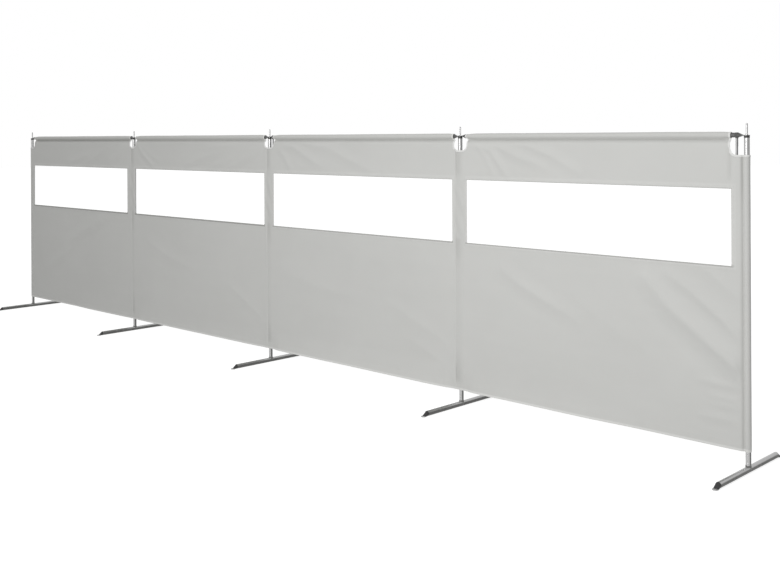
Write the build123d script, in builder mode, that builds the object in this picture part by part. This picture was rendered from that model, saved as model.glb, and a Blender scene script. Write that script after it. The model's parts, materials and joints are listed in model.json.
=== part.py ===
from build123d import *
import os

# Free-standing windbreak: four bays of cloth hung from top rails between five steel posts, each post
# on a T-shaped foot. The run lies along X, its front faces -Y, the ground is Z = 0, and the origin is
# on the ground under the middle post. Millimetres.

os.makedirs("parts", exist_ok=True)

# The run of bays
bay_count = 4
bay_pitch = 1500.0  # from post axis to post axis
rail_height = 1352.0  # axis of the top rails
pin_rise = 48.0  # from the rail axis to the tip of a post's pin
carried_by = [1, 2, 2, 3, 4]  # the bay that each post, from 1 to 5, belongs to

# Posts: tube, end plate with its pin, and the plastic cap that the rails turn on
post_diameter = 22.0
post_wall = 1.0
end_plate = 3.0
pin_diameter = 8.0
pin_root_diameter = 10.0  # the thicker root that the rails' eyes turn on
pin_root_rise = 4.4  # from the rail axis to the top of that root
cap_lip = 0.5  # beyond the post's side
cap_height = 8.0

# Feet: tube across the run, a collar and spigot for the post, and an end plug with a peg tab
foot_diameter = 25.0
foot_wall = 1.2
foot_tube_length = 516.0
collar_lip = 1.0  # beyond the post's side
collar_height = 4.0  # above the top of the foot tube
spigot_length = 60.0
spigot_wall = 1.2
plug_depth = 20.0  # inside the tube
plug_nose = 22.0  # from the tube's end down to the tab
tab_length = 16.0
tab_width = 24.0
tab_thickness = 4.0
peg_hole_diameter = 9.0
peg_hole_inset = 8.0  # from the tab's tip to the hole's axis

# Top rails: tube with flattened ends
rail_diameter = 20.0
rail_wall = 1.0
tongue_width = 24.0
tongue_thickness = 3.0
taper_start = 14.0  # from the post axis to where the flat tongue begins to swell
taper_length = 21.0

# Cloth: bands, panels, pockets and the clear windows, all plain sheets
cloth_thickness = 2.0
cloth_bottom = 83.0
band_depth = 217.0  # from the rail axis down to the windows
window_height = 315.0
film_thickness = 1.0
notch_depth = 81.0  # below the rail axis
notch_half_width = 46.0
end_notch_half_width = 72.0
notch_corner = 35.0
pocket_wall = 2.1
pocket_lap = 0.4  # by which a pocket's round wall runs into its flat strip
pocket_strip_width = 48.0
hinge_gap = 8.0  # between a pocket and the cloth of the bay that swings beside it
sleeve_wall = 2.1
sleeve_clearance = 1.3  # between the rail and the sleeve that hangs on it
seam_drop = 30.0  # from the rail axis down to the seam under the sleeve
seam_front = 5.0  # the cloth's front face at that seam, before the rail axis
slope_height = 32.0  # over which the cloth leans back from its plane to the seam

# Webbing straps that hang from the rail in the notches of some posts, and end behind the cloth
strap_sides = {3: 1, 5: -1}  # which side of the post, by post
strap_insets = {3: 6.0, 5: 30.0}  # from the notch's side to the strap's middle, by post
strap_width = 11.0
strap_wall = 1.4
strap_lead = 2.0  # the strap's middle, before the rail axis
strap_tail = 16.0  # below the bottom of the notch

# Clearances
fit = 0.3  # between pieces that slide or lie against each other
pin_clearance = 0.5  # between a pin's root and the rail's eye

post_radius = post_diameter / 2
rail_radius = rail_diameter / 2
foot_radius = foot_diameter / 2
post_base = foot_diameter + collar_height
post_top = rail_height - tongue_thickness - cap_height
pin_root_top = rail_height + pin_root_rise
pin_top = rail_height + pin_rise
taper_end = taper_start + taper_length
cloth_back = post_radius + fit + pocket_wall - pocket_lap  # before the post axes
cloth_front = cloth_back + cloth_thickness
window_top = rail_height - band_depth
window_bottom = window_top - window_height
notch_bottom = rail_height - notch_depth
sleeve_bore = rail_radius + sleeve_clearance
sleeve_height = rail_height - sleeve_clearance + fit  # the sleeve's axis: it hangs on the rail
sleeve_floor = sleeve_height - sleeve_bore - sleeve_wall / 2
seam_height = rail_height - seam_drop
strap_bore = tongue_width / 2 + fit
strap_height = rail_height + rail_radius + fit - strap_bore  # the loop's axis: it hangs on the rail


def post_x(post):
    """X of a post's axis; posts are numbered from 1 at the left end of the run."""
    return (post - 1 - bay_count / 2) * bay_pitch


def notch_half(post):
    """Half the width of the notch at a post: it is wider at the two ends of the run."""
    return end_notch_half_width if post in (1, bay_count + 1) else notch_half_width


def cloth_end(post, bay):
    """Distance from a post's axis to the cloth of a bay beside it."""
    own = carried_by[post - 1] == bay
    return pocket_strip_width / 2 + (0 if own else hinge_gap)


def save(builder, name):
    """Label a finished piece and write it."""
    builder.part.label = name
    export_step(builder.part, f"parts/{name}.step")


# Posts, feet and the pockets that hold the cloth to the posts
for post in range(1, bay_count + 2):
    x = post_x(post)

    with BuildPart() as foot:
        with BuildSketch(Plane.XZ.offset(-foot_tube_length / 2)):
            with Locations((x, foot_radius)):
                Circle(foot_radius)
        extrude(amount=foot_tube_length)
        with BuildSketch(Plane.XY.offset(foot_radius)):
            with Locations((x, 0)):
                Circle(post_radius + collar_lip)
        extrude(amount=post_base - foot_radius)
        with BuildSketch(Plane.XZ.offset(-foot_tube_length / 2)):
            with Locations((x, foot_radius)):
                Circle(foot_radius - foot_wall)
        extrude(amount=foot_tube_length, mode=Mode.SUBTRACT)
        with BuildSketch(Plane.XY.offset(post_base)):
            with Locations((x, 0)):
                Circle(post_radius - post_wall - fit)
                Circle(post_radius - post_wall - fit - spigot_wall, mode=Mode.SUBTRACT)
        extrude(amount=spigot_length)
    save(foot, f"foot_{post}")

    with BuildPart() as foot_plugs:
        nose_y = -foot_tube_length / 2
        tab_root = nose_y - plug_nose
        tip_centre = tab_root - tab_length + tab_width / 2
        with BuildSketch(Plane.XZ.offset(-nose_y - plug_depth)):
            with Locations((x, foot_radius)):
                Circle(foot_radius - foot_wall - fit)
        extrude(amount=plug_depth)
        with BuildSketch(Plane.XZ.offset(-nose_y)):
            with Locations((x, foot_radius)):
                Circle(foot_radius)
        with BuildSketch(Plane.XZ.offset(-tab_root)):
            with Locations((x, tab_thickness / 2)):
                Ellipse(tab_width / 2, tab_thickness / 2)
        loft()
        with BuildSketch():
            with Locations((x, (tab_root + tip_centre) / 2)):
                Rectangle(tab_width, tab_root - tip_centre)
            with Locations((x, tip_centre)):
                Circle(tab_width / 2)
            with Locations((x, tab_root - tab_length + peg_hole_inset)):
                Circle(peg_hole_diameter / 2, mode=Mode.SUBTRACT)
        extrude(amount=tab_thickness)
        mirror(about=Plane.XZ)
    save(foot_plugs, f"foot_plugs_{post}")

    with BuildPart() as upright:
        with BuildSketch(Plane.XY.offset(post_base)):
            with Locations((x, 0)):
                Circle(post_radius)
                Circle(post_radius - post_wall, mode=Mode.SUBTRACT)
        extrude(amount=post_top - post_base)
        with BuildSketch(Plane.XY.offset(post_top - end_plate)):
            with Locations((x, 0)):
                Circle(post_radius)
        extrude(amount=end_plate)
        with BuildSketch(Plane.XY.offset(post_top)):
            with Locations((x, 0)):
                Circle(pin_root_diameter / 2)
        extrude(amount=pin_root_top - post_top)
        with BuildSketch(Plane.XY.offset(pin_root_top)):
            with Locations((x, 0)):
                Circle(pin_diameter / 2)
        extrude(amount=pin_top - pin_root_top)
        tip = upright.edges().filter_by(GeomType.CIRCLE).sort_by(Axis.Z)[-1]
        fillet(tip, radius=0.45 * pin_diameter)
    save(upright, f"post_{post}")

    with BuildPart() as cap:
        with BuildSketch(Plane.XY.offset(post_top)):
            with Locations((x, 0)):
                Circle(post_radius + cap_lip)
                Circle(pin_root_diameter / 2 + fit, mode=Mode.SUBTRACT)
        extrude(amount=cap_height)
    save(cap, f"post_cap_{post}")

    # The pocket's flat strip spans the post, except outward at the two ends of the run
    strip_left = x - (pocket_strip_width / 2 if post > 1 else 0)
    strip_right = x + (pocket_strip_width / 2 if post <= bay_count else 0)
    with BuildPart() as pocket:
        with BuildSketch(Plane.XY.offset(cloth_bottom)):
            with Locations((x, 0)):
                Circle(post_radius + fit + pocket_wall)
            with Locations(((strip_left + strip_right) / 2, -cloth_back - cloth_thickness / 2)):
                Rectangle(strip_right - strip_left, cloth_thickness)
            with Locations((x, 0)):
                Circle(post_radius + fit, mode=Mode.SUBTRACT)
        extrude(amount=notch_bottom - cloth_bottom)
    save(pocket, f"post_pocket_{post}")

# Rails and the cloth of each bay
for bay in range(1, bay_count + 1):
    left, right = bay, bay + 1
    left_x, right_x = post_x(left), post_x(right)
    cloth_left = left_x + cloth_end(left, bay)
    cloth_right = right_x - cloth_end(right, bay)
    cloth_width = cloth_right - cloth_left
    cloth_middle = (cloth_left + cloth_right) / 2

    with BuildPart() as rail:
        with BuildSketch(Plane.YZ.offset(left_x + taper_end)):
            with Locations((0, rail_height)):
                Circle(rail_radius)
                Circle(rail_radius - rail_wall, mode=Mode.SUBTRACT)
        extrude(amount=bay_pitch - 2 * taper_end)
        # Flattened ends: a taper from the round tube to a tongue with its eye; where two rails share a
        # pin, the rail of the bay that carries the post lies under the other
        for post, inward in ((left, 1), (right, -1)):
            x = post_x(post)
            own = carried_by[post - 1] == bay
            tongue_bottom = rail_height + (-tongue_thickness if own else fit)
            tongue_middle = tongue_bottom + tongue_thickness / 2
            with BuildSketch(Plane((x + inward * taper_end, 0, rail_height), (0, 1, 0), (inward, 0, 0))):
                Circle(rail_radius)
            with BuildSketch(Plane((x + inward * taper_start, 0, tongue_middle), (0, 1, 0), (inward, 0, 0))):
                Ellipse(tongue_width / 2, tongue_thickness / 2)
            loft()
            with BuildSketch(Plane.XY.offset(tongue_bottom)):
                with Locations((x + inward * taper_start / 2, 0)):
                    Rectangle(taper_start, tongue_width)
                with Locations((x, 0)):
                    Circle(tongue_width / 2)
                    Circle(pin_root_diameter / 2 + pin_clearance, mode=Mode.SUBTRACT)
            extrude(amount=tongue_thickness)
    save(rail, f"top_rail_{bay}")

    with BuildPart() as band:
        sleeve_left = left_x + notch_half(left)
        sleeve_right = right_x - notch_half(right)
        # The cloth's front face in section, from the window up to the underside of the sleeve
        face = [(-cloth_front, window_top), (-cloth_front, seam_height - slope_height),
                (-seam_front, seam_height), (-seam_front, sleeve_floor)]
        back = [(y + cloth_thickness, z) for y, z in reversed(face)]
        with BuildSketch(Plane.YZ.offset(cloth_left)):
            Polygon(*face, *back, align=None)
        extrude(amount=cloth_width)
        with BuildSketch(Plane.XZ):
            for post in (left, right):
                with Locations((post_x(post), rail_height)):
                    RectangleRounded(2 * notch_half(post), 2 * notch_depth, notch_corner)
        extrude(amount=cloth_front, mode=Mode.SUBTRACT)
        with BuildSketch(Plane.YZ.offset(sleeve_left)):
            with Locations((0, sleeve_height)):
                Circle(sleeve_bore + sleeve_wall)
                Circle(sleeve_bore, mode=Mode.SUBTRACT)
        extrude(amount=sleeve_right - sleeve_left)
    save(band, f"upper_band_{bay}")

    with BuildPart() as window:
        with BuildSketch(Plane.XZ.offset(cloth_back + (cloth_thickness - film_thickness) / 2)):
            with Locations((cloth_middle, (window_bottom + window_top) / 2)):
                Rectangle(cloth_width, window_top - window_bottom)
        extrude(amount=film_thickness)
    save(window, f"window_{bay}")

    with BuildPart() as panel:
        with BuildSketch(Plane.XZ.offset(cloth_back)):
            with Locations((cloth_middle, (cloth_bottom + window_bottom) / 2)):
                Rectangle(cloth_width, window_bottom - cloth_bottom)
        extrude(amount=cloth_thickness)
    save(panel, f"lower_panel_{bay}")

# Straps: a loop that hangs on the rail, and a flat run down behind the cloth
for post, side in strap_sides.items():
    strap_middle = post_x(post) + side * (notch_half(post) - strap_insets[post])
    strap_length = strap_height - notch_bottom + strap_tail
    with BuildPart() as strap:
        with BuildSketch(Plane.YZ.offset(strap_middle - strap_width / 2)):
            with Locations((0, strap_height)):
                Circle(strap_bore + strap_wall)
            with Locations((-strap_lead, strap_height - strap_length / 2)):
                Rectangle(strap_wall, strap_length)
            with Locations((0, strap_height)):
                Circle(strap_bore, mode=Mode.SUBTRACT)
        extrude(amount=strap_width)
    save(strap, f"rail_strap_{post}")
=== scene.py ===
import json
from itertools import product
from math import acos, atan2, copysign, cos, dist, exp, pi, radians, sin, sqrt
import bpy
from mathutils import Matrix, Vector, noise

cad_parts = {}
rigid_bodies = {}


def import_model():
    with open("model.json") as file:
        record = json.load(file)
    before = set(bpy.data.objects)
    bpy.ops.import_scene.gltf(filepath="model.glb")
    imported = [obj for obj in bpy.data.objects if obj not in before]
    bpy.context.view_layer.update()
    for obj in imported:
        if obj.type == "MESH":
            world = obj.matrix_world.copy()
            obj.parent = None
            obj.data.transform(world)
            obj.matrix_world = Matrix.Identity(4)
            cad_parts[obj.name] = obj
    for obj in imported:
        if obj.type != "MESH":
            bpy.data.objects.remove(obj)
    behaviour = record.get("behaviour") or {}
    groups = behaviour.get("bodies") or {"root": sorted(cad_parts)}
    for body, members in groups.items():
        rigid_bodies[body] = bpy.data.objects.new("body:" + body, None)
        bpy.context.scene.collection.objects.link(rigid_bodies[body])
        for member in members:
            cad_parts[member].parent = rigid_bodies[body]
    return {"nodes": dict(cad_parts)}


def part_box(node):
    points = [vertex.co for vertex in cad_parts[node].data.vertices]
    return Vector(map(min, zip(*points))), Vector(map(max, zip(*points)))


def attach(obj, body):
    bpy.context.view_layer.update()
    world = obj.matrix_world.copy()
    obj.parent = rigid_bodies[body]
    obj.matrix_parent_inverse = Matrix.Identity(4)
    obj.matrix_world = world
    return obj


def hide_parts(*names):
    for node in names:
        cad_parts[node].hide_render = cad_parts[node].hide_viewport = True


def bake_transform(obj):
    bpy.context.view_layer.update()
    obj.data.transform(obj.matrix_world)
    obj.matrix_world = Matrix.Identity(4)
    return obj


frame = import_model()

# A windbreak of four bays: cloth with a clear window hangs from a rail between steel posts.
# The run lies along X and its front faces -Y. Metres.

for spare in [o for o in bpy.data.objects if o.name in ("Cube", "Light", "Camera")]:
    bpy.data.objects.remove(spare)
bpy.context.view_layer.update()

bays = ["bay_1", "bay_2", "bay_3", "bay_4"]
bayPitch = 1.5  # from post axis to post axis
postX = [(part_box(f"post_{i}")[0].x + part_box(f"post_{i}")[1].x) / 2 for i in range(1, 6)]
railZ = (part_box("top_rail_1")[0].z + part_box("top_rail_1")[1].z) / 2
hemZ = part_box("lower_panel_1")[0].z
windowLow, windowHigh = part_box("window_1")[0].z + 0.003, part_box("window_1")[1].z
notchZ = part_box("post_pocket_3")[1].z
frontward, downward = Vector((0, -1, 0)), Vector((0, 0, -1))
print("frame: posts at", [round(x, 3) for x in postX], "rail at", round(railZ, 3))


def placed(name, data):
    made = bpy.data.objects.new(name, data)
    bpy.context.scene.collection.objects.link(made)
    return made


# Camera

cameraSet = {
    "place": (4.850, -3.9644, 1.3528),
    "yaw": -0.76955,  # from +Y towards +X
    "roll": -0.00487, "lens": 47.63, "sensor": 36.0, "shiftY": -0.200, "clip": (0.05, 200.0),
}


def makeCamera(s):
    data = bpy.data.cameras.new("camera")
    data.lens, data.sensor_width = s["lens"], s["sensor"]
    data.shift_y = s["shiftY"]
    data.clip_start, data.clip_end = s["clip"]
    camera = placed("camera", data)
    camera.matrix_world = Matrix.Translation(s["place"])
    for angle, axis in ((-s["yaw"], "Z"), (pi / 2, "X"), (s["roll"], "Z")):
        camera.matrix_world = camera.matrix_world @ Matrix.Rotation(angle, 4, axis)
    bpy.context.scene.camera = camera


makeCamera(cameraSet)
print("camera placed")


# Node helpers


class Wire:  # a node's output, which takes part in sums
    def __init__(self, tree, socket):
        self.tree, self.socket = tree, socket

    def math(self, operation, *values):
        return self.tree.node("ShaderNodeMath", dict(enumerate(values)), {"operation": operation})

    def sine(self):
        return self.math("SINE", self)

    def size(self):
        return self.math("ABSOLUTE", self)

    def held(self):  # kept between 0 and 1
        return self.tree.node("ShaderNodeClamp", {0: self})


def addSign(sign, operation):
    setattr(Wire, f"__{sign}__", lambda self, other: self.math(operation, self, other))
    setattr(Wire, f"__r{sign}__", lambda self, other: self.math(operation, other, self))


signs = {"add": "ADD", "sub": "SUBTRACT", "mul": "MULTIPLY", "truediv": "DIVIDE", "pow": "POWER", "lt": "LESS_THAN"}
for sign, operation in signs.items():
    addSign(sign, operation)


class Tree:
    def __init__(self, tree):
        self.tree = tree

    def node(self, kind, sockets=None, settings=None, output=0):
        made = self.tree.nodes.new(kind)
        for name, value in (settings or {}).items():
            setattr(made, name, value)
        for key, value in (sockets or {}).items():
            if isinstance(value, Wire):
                self.tree.links.new(value.socket, made.inputs[key])
            else:
                made.inputs[key].default_value = value
        return Wire(self, made.outputs[output]) if len(made.outputs) else None

    def coordinates(self, output="Object"):
        return self.node("ShaderNodeTexCoord", output=output)

    def cut(self):  # the place on the flat piece, and its two parts
        cut = self.coordinates("UV")
        return cut, self.part(cut, 0), self.part(cut, 1)

    def part(self, vector, axis):
        return self.node("ShaderNodeSeparateXYZ", {0: vector}, output=axis)

    def noise(self, vector, scale, detail=2.0, roughness=0.5):
        sockets = {"Vector": vector, "Scale": scale, "Detail": detail, "Roughness": roughness}
        return self.node("ShaderNodeTexNoise", sockets)

    def stretched(self, vector, scale):
        return self.node("ShaderNodeMapping", {"Vector": vector, "Scale": scale})

    def mix(self, factor, first, second):
        return self.node("ShaderNodeMix", {0: factor, 6: first, 7: second}, {"data_type": "RGBA"}, 2)

    def bump(self, height, strength, distance):
        return self.node("ShaderNodeBump", {"Strength": strength, "Distance": distance, "Height": height})

    def surface(self, colour, roughness, bump, sockets):
        sockets = {**sockets, "Base Color": colour, "Roughness": roughness}
        if bump:
            sockets["Normal"] = self.bump(*bump)
        return self.node("ShaderNodeBsdfPrincipled", sockets)


def finish(build):
    material = bpy.data.materials.new(build.__name__)
    material.use_nodes = True
    material.node_tree.nodes.clear()
    tree = Tree(material.node_tree)
    surface = build(tree)
    tree.node("ShaderNodeOutputMaterial", {"Surface": surface})
    return material


def grey(value, warm=0.0):
    return (value + warm * 0.5, value + warm * 0.7, value - warm * 1.2, 1.0)


# Materials

clothLook = {
    "light": grey(0.586, 0.009), "dark": grey(0.544, 0.009),
    "hemsAndHighlight": grey(0.665, 0.009),  # hems, and the painted highlight along the hem's bottom fold
    "paintedShade": grey(0.310, 0.009),  # painted shade: where no light shines through round the rail and the posts, and in the grooves, folds and window edges
    "dirt": (0.36, 0.345, 0.315, 1.0), "dirtHeight": 0.22, "threadPitch": 0.0011, "slubScale": (900, 60),
}


def wovenCloth(tree):
    s = clothLook
    cut, across, down = tree.cut()
    place = tree.coordinates()
    turn = 2 * pi / s["threadPitch"]
    weave = (across * turn).sine() * (down * turn).sine() * 0.5 + 0.5
    fine, long = s["slubScale"]
    weft = tree.noise(tree.stretched(cut, (fine, long, 1)), 1.0, 2.0)
    slub = weft + tree.noise(tree.stretched(cut, (long, fine, 1)), 1.0, 2.0)
    patches = tree.noise(place, 2.3, 4.0, 0.55)
    streaks = tree.noise(tree.stretched(place, (1.5, 1.5, 14)), 1.0, 3.0)
    tone = (patches * 0.7 + streaks * 0.3 - 0.25) * 1.6
    colour = tree.mix(tone.held(), s["dark"], s["light"])
    colour = tree.mix(weave * 0.10 + slub * 0.05, colour, s["light"])
    # This point attribute lightens the hems and paints a highlight on the hem's bottom fold; below 0 it paints shade.
    layers = tree.node("ShaderNodeAttribute", {}, {"attribute_name": "layers"}, "Fac")
    colour = tree.mix(layers.held(), colour, s["hemsAndHighlight"])
    # painted shade where the attribute is below 0
    colour = tree.mix((0.0 - layers).held(), colour, s["paintedShade"])
    low = (1.0 - tree.part(place, 2) / s["dirtHeight"]).held() ** 2
    splash = low * (tree.noise(place, 26.0, 5.0, 0.65) * 1.8 - 0.75).held()
    colour = tree.mix(splash * 0.16, colour, s["dirt"])
    sheen = {"Sheen Weight": 0.08, "Sheen Roughness": 0.5, "Specular IOR Level": 0.25}
    return tree.surface(colour, 0.80 + patches * 0.10, (weave * 0.6 + slub * 0.4, 0.16, 0.0004), sheen)


bindingLook = {"low": grey(0.66, 0.008), "high": grey(0.74, 0.008), "edge": grey(0.54), "ribPitch": 0.0016}


def bindingTape(tree):
    s = bindingLook
    cut, along, across = tree.cut()
    rib = (along * (2 * pi / s["ribPitch"])).sine() * 0.5 + 0.5
    wander = tree.noise(tree.coordinates(), 40.0, 3.0)
    colour = tree.mix((rib * 0.4 + wander * 0.6).held(), s["low"], s["high"])
    edge = ((across - 0.5).size() * 2.0 - 0.8).held() * 2.0
    colour = tree.mix(edge * 0.3, colour, s["edge"])
    sheen = {"Sheen Weight": 0.1, "Specular IOR Level": 0.3}
    return tree.surface(colour, 0.72 + wander * 0.12, (rib, 0.35, 0.0003), sheen)


strapLook = {
    "low": grey(0.46), "high": grey(0.62),
    "shadedHalf": grey(0.09),  # painted shade on one half of the strap, away from the light
    "roundRail": grey(0.075),  # darker where it goes round the rail
    "roundRailFrom": 1.338, "twill": (2400.0, 26.0),
}


def strapWebbing(tree):
    s = strapLook
    cut, along, across = tree.cut()
    ridges = (along * s["twill"][0] + across * s["twill"][1]).sine() * 0.5 + 0.5
    twill = ridges * ((across * 60.0).sine() * 0.3 + 0.7)
    wander = tree.noise(tree.coordinates(), 60.0, 3.0)
    colour = tree.mix((twill * 0.5 + wander * 0.5).held(), s["low"], s["high"])
    # painted shade over one half of the strap's width
    shadedHalf = ((across - 0.48) * 8.0).held()
    # darker above the set height, round the rail
    roundRail = ((tree.part(tree.coordinates(), 2) - s["roundRailFrom"]) * 300.0).held()
    colour = tree.mix(shadedHalf * 0.9, colour, s["shadedHalf"])
    colour = tree.mix(roundRail, colour, s["roundRail"])
    return tree.surface(colour, 0.66 + wander * 0.16, (twill, 0.5, 0.0004), {"Sheen Weight": 0.12})


def stitchThread(tree):
    wander = tree.noise(tree.coordinates(), 300.0, 2.0)
    return tree.surface(tree.mix(wander.held(), grey(0.50), grey(0.64)), 0.6, None, {"Sheen Weight": 0.1})


def clearFilm(tree):
    place = tree.coordinates()
    haze = tree.noise(tree.stretched(place, (2.0, 1.0, 5.0)), 1.0, 4.0)
    ripple = tree.noise(tree.stretched(place, (3.0, 1.0, 8.0)), 2.0, 3.0)
    scuffs = (tree.noise(tree.stretched(place, (30.0, 1.0, 90.0)), 3.0, 5.0, 0.7) - 0.62).held() * 3.0
    alpha = 0.012 + haze * 0.016 + scuffs * 0.05
    roughness = 0.05 + haze * 0.05 + scuffs * 0.20
    return tree.surface(grey(0.92), roughness, (ripple, 0.35, 0.004), {"Alpha": alpha, "IOR": 1.52})


steelLook = {
    "plated": (grey(0.38), grey(0.46), grey(0.30, 0.006)),  # dark, light and bloomed
    "blacked": (grey(0.080), grey(0.130), grey(0.17, 0.004)),
    "paintedSideReflection": grey(0.055, 0.002),  # painted dark reflection on the tubes' sides
    "paintedUnderShade": grey(0.030, 0.002),  # painted shade and dark floor reflection under the feet
    "footTop": 0.032,
}


def steelSkin(tree, low, high, bloomed):
    s = steelLook
    place = tree.coordinates()
    drawn = tree.noise(tree.stretched(place, (500.0, 500.0, 6.0)), 1.0, 3.0)
    cloud = tree.noise(place, 9.0, 4.0, 0.6)
    bloom = (tree.noise(place, 45.0, 5.0, 0.7) * 1.7 - 0.75).held()
    colour = tree.mix(cloud, low, high)
    colour = tree.mix(bloom * 0.35, colour, bloomed)
    facing = tree.node("ShaderNodeNewGeometry", output="Normal")
    sideways, upward = tree.part(facing, 0), tree.part(facing, 2)
    height = tree.part(place, 2)
    atFoot = ((1.0 - height / s["footTop"]) * 6.0).held()
    belowCloth = ((hemZ - height) * 40.0 + 1.0).held()
    # painted shade on the faces turned down near the floor, at the feet
    paintedUnderShade = ((0.62 - upward) * 2.8).held() * atFoot * (0.8 + bloom * 0.2)
    # painted dark reflection on the sides facing along X, stronger below the cloth
    flank = ((sideways * sideways - 0.50) * 4.0).held() * (0.45 + belowCloth * 0.38)
    colour = tree.mix(flank * (1.0 - atFoot), colour, s["paintedSideReflection"])
    colour = tree.mix(paintedUnderShade * 0.94, colour, s["paintedUnderShade"])
    roughness = 0.24 + cloud * 0.05 + bloom * 0.06 + paintedUnderShade * 0.3
    return tree.surface(colour, roughness, (drawn, 0.01, 0.0001), {"Metallic": 1.0})


def platedSteel(tree):
    return steelSkin(tree, *steelLook["plated"])


def blackedSteel(tree):
    return steelSkin(tree, *steelLook["blacked"])


def weldSteel(tree):
    scale = tree.noise(tree.coordinates(), 240.0, 4.0)
    colour = tree.mix(scale, grey(0.20, 0.004), grey(0.36, 0.004))
    return tree.surface(colour, 0.34 + scale * 0.2, (scale, 0.3, 0.0003), {"Metallic": 1.0})


plasticLook = {
    "clean": grey(0.018), "scuffed": grey(0.065),
    "tab": grey(0.46),  # the peg tabs are bare metal
    "tabFrom": 0.2795,  # from the run's middle
    "tabTop": 0.0045,
}


def mouldedPlastic(tree):
    s = plasticLook
    place = tree.coordinates()
    grain = tree.noise(place, 700.0, 3.0)
    scuff = (tree.noise(place, 60.0, 5.0, 0.7) * 1.8 - 0.85).held()
    colour = tree.mix(scuff * 0.5, s["clean"], s["scuffed"])
    outside = ((tree.part(place, 1).size() - s["tabFrom"]) * 700.0).held()
    tab = outside * (tree.part(place, 2) < s["tabTop"])
    colour = tree.mix(tab, colour, s["tab"])
    roughness = 0.42 + grain * 0.12 + scuff * 0.2 - tab * 0.1
    return tree.surface(colour, roughness, (grain, 0.12, 0.0002), {"Metallic": tab, "Specular IOR Level": 0.45})


looks = {"cloth": wovenCloth, "binding": bindingTape, "strap": strapWebbing, "thread": stitchThread}
looks.update({"film": clearFilm, "steel": platedSteel, "rail": blackedSteel, "weld": weldSteel})
looks["plastic"] = mouldedPlastic
looks = {kind: finish(build) for kind, build in looks.items()}
for name, node in frame["nodes"].items():
    kind = "plastic" if "cap" in name or "plugs" in name else "rail" if "rail" in name else "steel"
    for slot in node.material_slots:
        slot.material = looks[kind]
print("materials made")


# Stage and light

stageSet = {
    "worldStrength": 0.60, "floorHalf": 40, "floorColour": grey(0.55),
    "floorGlow": 0.75,  # the floor shows white, but lights nothing
    "keyPlace": (2.5, -5.0, 2.3), "keyAim": (2.0, 0.0, 0.9), "keySize": 2.0, "keyPower": 138.0,
}


def makeStage(s):
    world = bpy.data.worlds.new("studio")
    bpy.context.scene.world = world
    world.use_nodes = True
    world.node_tree.nodes.clear()

    def shown(tree):  # 1 for the rays that see the background
        rays = ("Camera", "Glossy", "Transmission")
        kinds = [tree.node("ShaderNodeLightPath", output=f"Is {kind} Ray") for kind in rays]
        return (kinds[0] + kinds[1] + kinds[2]).held()

    tree = Tree(world.node_tree)
    dim = tree.node("ShaderNodeBackground", {"Color": grey(1.0), "Strength": s["worldStrength"]})
    white = tree.node("ShaderNodeBackground", {"Color": grey(1.0), "Strength": 1.0})
    mixed = tree.node("ShaderNodeMixShader", {0: shown(tree), 1: dim, 2: white})
    tree.node("ShaderNodeOutputWorld", {"Surface": mixed})

    def paleFloor(tree):
        matt = tree.node("ShaderNodeBsdfDiffuse", {"Color": s["floorColour"]})
        glow = tree.node("ShaderNodeEmission", {"Color": grey(1.0), "Strength": shown(tree) * s["floorGlow"]})
        return tree.node("ShaderNodeAddShader", {0: matt, 1: glow})

    half = s["floorHalf"]
    mesh = bpy.data.meshes.new("floor")
    mesh.from_pydata([(-half, -half, 0), (half, -half, 0), (half, half, 0), (-half, half, 0)], [], [(0, 1, 2, 3)])
    mesh.materials.append(finish(paleFloor))
    placed("floor", mesh)

    data = bpy.data.lights.new("key", "AREA")
    data.shape, data.size, data.energy = "SQUARE", s["keySize"], s["keyPower"]
    lamp = placed("key", data)
    lamp.location = s["keyPlace"]
    lamp.rotation_euler = (Vector(s["keyAim"]) - Vector(s["keyPlace"])).to_track_quat("-Z", "Y").to_euler()
    lamp.visible_camera = False
    bpy.context.scene.view_settings.view_transform = "Standard"


makeStage(stageSet)
print("stage lit")


# Cloth

clothSet = {
    "plane": -0.014,  # the cloth's middle, before the post axes
    "thickness": 0.0008, "pitch": 0.008, "seamDrop": 0.0205, "seamY": -0.0042, "slope": 0.017, "hem": 0.040,
    "hemLayer": 0.0016,  # from layer to layer
    "windowHem": 0.015,
    "windowLeft": (0.069, 0.038, 0.052, 0.053),  # from each bay's left post to its window
    "windowRight": (0.067, 0.037, 0.0435, 0.061),
    "edgeLeft": (0.071, 0.047, 0.054, 0.054),  # from each bay's left post to the notch's side
    "edgeRight": (0.031, 0.031, 0.030, 0.066),
    "notchLift": (0.006, 0.012, 0.018, 0.010, 0.0),  # each notch's foot, above the pockets' tops
    "squeeze": 0.030,  # the levels this far below the pockets' tops follow the notch
    "stripHalf": 0.036,  # of the strip before a middle post
    "wrapStart": 0.030,  # from an end post, where the cloth leaves its plane
    "wrapRadius": 0.0125,
    "corners": (0.024, 0.032, 0.030),  # the notches' corners, before and after a middle post and at the ends
}
sleeveSet = {
    "radius": 0.0148,
    "drop": 0.0012,  # below the rail's axis
    "endRadius": 0.0118,
    "tighten": 0.045,  # from its end to its full size
    "fade": 0.060,
    "reach": 0.013,  # the left ends reach over the notch
    "short": 0.010,  # the right ends of the inner bays stand back
    "sink": 0.0025,
    "around": 0.098,  # the cloth's length round the rail
}
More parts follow.
